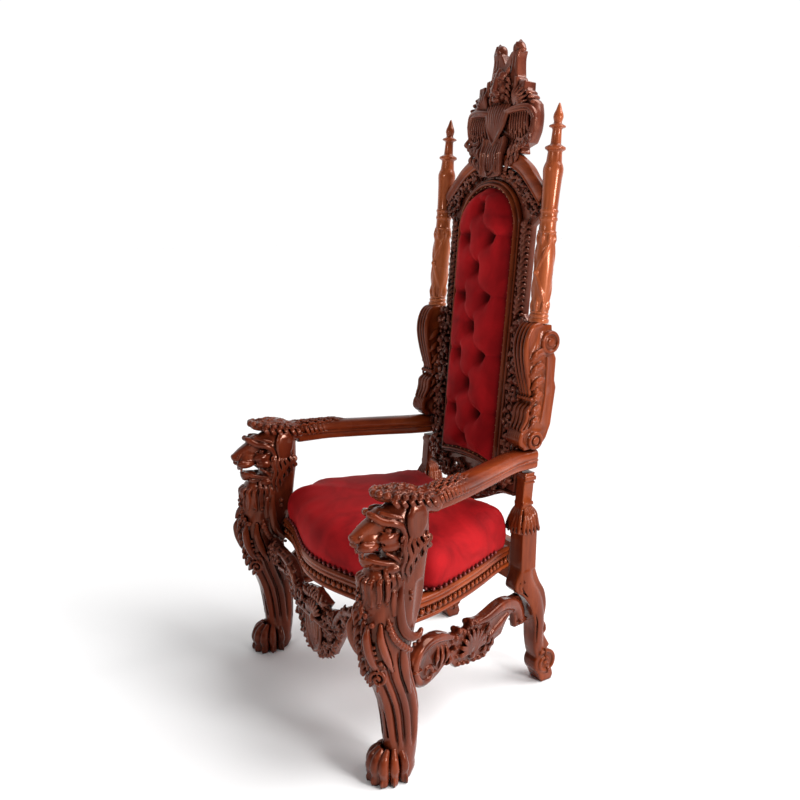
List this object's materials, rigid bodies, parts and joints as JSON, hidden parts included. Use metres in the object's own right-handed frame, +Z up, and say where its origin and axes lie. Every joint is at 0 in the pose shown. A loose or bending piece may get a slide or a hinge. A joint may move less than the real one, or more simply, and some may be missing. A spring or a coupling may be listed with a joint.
{
  "type": "carved lion throne",
  "caption": "Tall carved wooden throne with lion front legs, turned columns, a crested arched back and buttoned velvet upholstery.",
  "frame": {"origin": "on the floor, at the centre of the box round the throne", "axes": "+Z up, the front faces -Y, +X is the sitter's left"},
  "size_m": [0.8422, 0.7648, 1.8293],
  "materials": {
    "mahogany": "gloss",
    "carved_mahogany": "gloss",
    "velvet": "velvet pile",
    "nailheads": "aged"
  },
  "bodies": {
    "root": {"lion_leg_left": "carved_mahogany", "lion_leg_right": "carved_mahogany", "arm_left": "mahogany", "arm_right": "mahogany", "rear_post_left": "mahogany", "rear_post_right": "mahogany", "scroll_bracket_left": "mahogany", "scroll_bracket_right": "mahogany", "column_left": "mahogany", "column_right": "mahogany", "arched_top_rail": "mahogany", "crest": "carved_mahogany", "back_carving_left": "carved_mahogany", "back_carving_right": "carved_mahogany", "back_panel_frame": "mahogany", "back_panel_board": "mahogany", "back_upholstery": "velvet", "back_lower_rail": "carved_mahogany", "seat_front_rail": "mahogany", "seat_side_rail_left": "mahogany", "seat_side_rail_right": "mahogany", "seat_rear_rail": "mahogany", "front_apron": "carved_mahogany", "side_stretcher_left": "mahogany", "side_stretcher_right": "mahogany", "seat_cushion": "velvet"}
  },
  "joints": []
}
